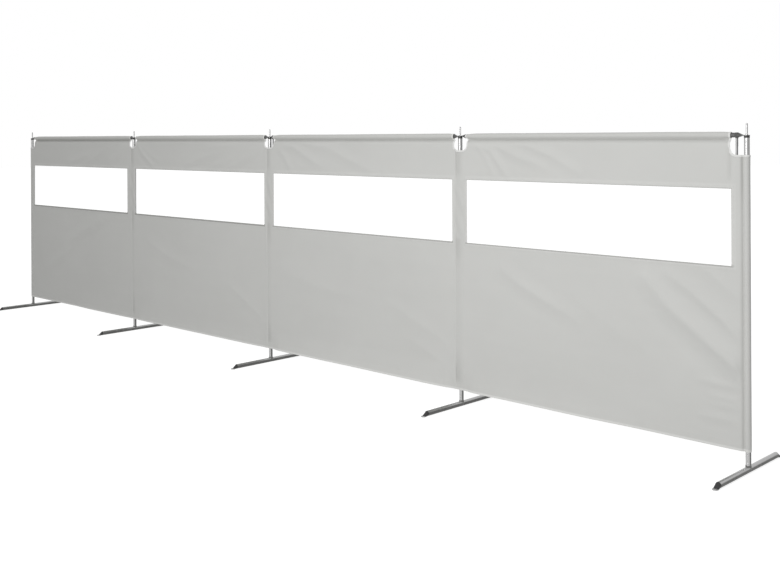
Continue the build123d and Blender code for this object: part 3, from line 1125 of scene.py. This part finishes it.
def makeRepeatTree():
    group = bpy.data.node_groups.new("repeatAlongPath", "GeometryNodeTree")
    kinds = {"Path": "Geometry", "Finish": "Material", "Rounds": "Int", "Seed": "Int"}
    kinds.update({name: "Float" for name in ("Pitch", "Length", "Width", "Height", "Wander")})
    for name, kind in kinds.items():
        group.interface.new_socket(name, in_out="INPUT", socket_type=f"NodeSocket{kind}")
    group.interface.new_socket("Pieces", in_out="OUTPUT", socket_type="NodeSocketGeometry")
    tree = Tree(group)
    node = tree.node
    given = {socket.name: Wire(tree, socket) for socket in group.nodes.new("NodeGroupInput").outputs if socket.name}
    curve = node("GeometryNodeMeshToCurve", {"Mesh": given["Path"]})
    points = node("GeometryNodeResampleCurve", {"Curve": curve, "Length": given["Pitch"]}, {"mode": "LENGTH"})
    along = node("GeometryNodeInputTangent")
    outward = node("GeometryNodeInputNamedAttribute", {"Name": "outward"}, {"data_type": "FLOAT_VECTOR"})
    align = "FunctionNodeAlignRotationToVector"
    turned = node(align, {"Vector": along}, {"axis": "X"})
    turned = node(align, {"Rotation": turned, "Vector": outward}, {"axis": "Z", "pivot_axis": "X"})
    body = node("GeometryNodeMeshIcoSphere", {"Radius": 0.5, "Subdivisions": given["Rounds"]})
    size = node("ShaderNodeCombineXYZ", {0: given["Length"], 1: given["Width"], 2: given["Height"]})
    ends = {2: 1.0 - given["Wander"], 3: 1.0 + given["Wander"], "Seed": given["Seed"]}
    chance = node("FunctionNodeRandomValue", ends, {"data_type": "FLOAT"}, 1)
    size = node("ShaderNodeVectorMath", {0: size, 3: chance}, {"operation": "SCALE"})
    sockets = {"Points": points, "Instance": body, "Rotation": turned, "Scale": size}
    real = node("GeometryNodeRealizeInstances", {"Geometry": node("GeometryNodeInstanceOnPoints", sockets)})
    done = node("GeometryNodeSetMaterial", {"Geometry": real, "Material": given["Finish"]})
    node("NodeGroupOutput", {"Pieces": done})
    return group


repeatTree = makeRepeatTree()


def repeatAlong(name, runs, s, look):  # runs: lists of (place, outward)
    mesh = bpy.data.meshes.new(name)
    points, edges, outward = [], [], []
    for run in runs:
        edges += [(len(points) + i, len(points) + i + 1) for i in range(len(run) - 1)]
        points += [tuple(place) for place, out in run]
        outward += [part for place, out in run for part in out]
    mesh.from_pydata(points, edges, [])
    mesh.attributes.new("outward", "FLOAT_VECTOR", "POINT").data.foreach_set("vector", outward)
    piece = placed(name, mesh)
    modifier = piece.modifiers.new("repeat", "NODES")
    modifier.node_group = repeatTree
    inputs = {"Finish": look, **{key.capitalize(): value for key, value in s.items()}}
    for item in repeatTree.interface.items_tree:
        if item.in_out == "INPUT" and item.name in inputs:
            modifier[item.identifier] = inputs[item.name]
    bake(piece)
    piece.data.shade_smooth()
    return piece


seamSet = {
    "lift": 0.0004,
    "hemLift": 0.0020,  # behind the hem's second layer
    "pitch": 0.010,
    "band": (0.0035, 0.0085),  # below the sleeve's seam
    "hem": 0.005,  # from the hem's upper edge
    "windowHem": 0.0035, "notch": 0.009, "wrap": 0.036,
}
windowInset = clothSet["windowHem"] - seamSet["windowHem"]


def seamRun(point, ends, out=frontward, lift=seamSet["lift"]):  # on the side that out points to
    return [(Vector(point(t)) + out * lift, out) for t in steps(list(ends), seamSet["pitch"])]


def bothSides(point, ends, behind=seamSet["lift"]):
    return [seamRun(point, ends), seamRun(point, ends, -frontward, behind)]


def bayStitches(bay):
    s = clothSet
    left, right = s["edgeLeft"][bay] + seamSet["notch"], bayPitch - s["edgeRight"][bay] - seamSet["notch"]
    near = seamSet["wrap"] if bay == 0 else stripHalf
    far = bayPitch - (seamSet["wrap"] if bay == 3 else stripHalf)
    start, end = windowSides(bay)[0] - windowInset, windowSides(bay)[1] + windowInset
    low, high = windowLow - windowInset, windowHigh + windowInset
    lines = [(seamZ - drop, left, right, seamSet["lift"]) for drop in seamSet["band"]]
    lines += [(hemZ + s["hem"] - seamSet["hem"], near, far, seamSet["hemLift"])]
    lines += [(z, max(near, start), min(far, end), seamSet["lift"]) for z in (low, high)]
    runs = []
    for z, first, last, behind in lines:
        runs += bothSides(lambda x: clothPoint(bay, x, z), (first, last), behind)
    for x in (start, end):
        if near < x < far:
            runs += bothSides(lambda z: clothPoint(bay, x, z), (low, high))
    return runs


def edgeStitches(path):  # along the binding, on both of its sides
    s = bindingSet
    width, stand = s["width"] * 0.72, s["stand"] * 1.05 + s["thickness"] / 2
    front = [(place + inward * width + out * stand, out) for place, inward, out in path]
    back = [(place + inward * width - out * stand, -out) for place, inward, out in path]
    return [front, back]


def stripStitches(post):
    half = stripHalf
    ends = (hemZ + 0.006, notchFoot[post] - 0.010)
    hem = hemZ + clothSet["hem"] - seamSet["hem"]
    runs = bothSides(lambda x: stripPoint(post, x, hem), (-half, half), seamSet["hemLift"])
    runs += [seamRun(lambda z: stripPoint(post, seamLine(post, z), z), ends)]
    runs += [seamRun(lambda z: stripPoint(post, pocketSet["seamRight"], z), ends)]
    sides = (windowInset - clothSet["windowRight"][post - 1], clothSet["windowLeft"][post] - windowInset)
    for x in sides:
        if abs(x) < half:
            ends = (windowLow - windowInset, windowHigh + windowInset)
            runs += bothSides(lambda z: stripPoint(post, x, z), ends)
    return runs


for bay in range(4):
    runs = bayStitches(bay)
    if bay in (0, 3):
        runs += edgeStitches(bindingPaths[0 if bay == 0 else 4])
    piece = repeatAlong(f"bayStitches{bay + 1}", runs, stitchSet, looks["thread"])
    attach(piece, bays[bay])
for post in (1, 2, 3):
    runs = stripStitches(post) + edgeStitches(bindingPaths[post])
    piece = repeatAlong(f"pocketStitches{post + 1}", runs, stitchSet, looks["thread"])
    turnWith(piece, post)
print("stitches laid")


# Weld beads where each foot's collar meets its tube

footSet = {"collarRadius": 0.012, "tubeRadius": 0.0125, "sink": 0.0003}


def weldRun(x):
    s = footSet
    run = []
    for a in spread(0, 2 * pi, 48):
        across, along = s["collarRadius"] * cos(a), s["collarRadius"] * sin(a)
        up = sqrt(s["tubeRadius"] ** 2 - across**2)
        out = (Vector((cos(a), sin(a), 0)) + Vector((across, 0, up)) / s["tubeRadius"]).normalized()
        run.append((Vector((x + across, along, s["tubeRadius"] + up)) - out * s["sink"], out))
    return run


carried = {"bay_1": (0,), "bay_2": (1, 2), "bay_3": (3,), "bay_4": (4,)}
for body, posts in carried.items():
    piece = repeatAlong(f"collarWeld_{body}", [weldRun(postX[post]) for post in posts], weldSet, looks["weld"])
    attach(piece, body)
print("welds laid")
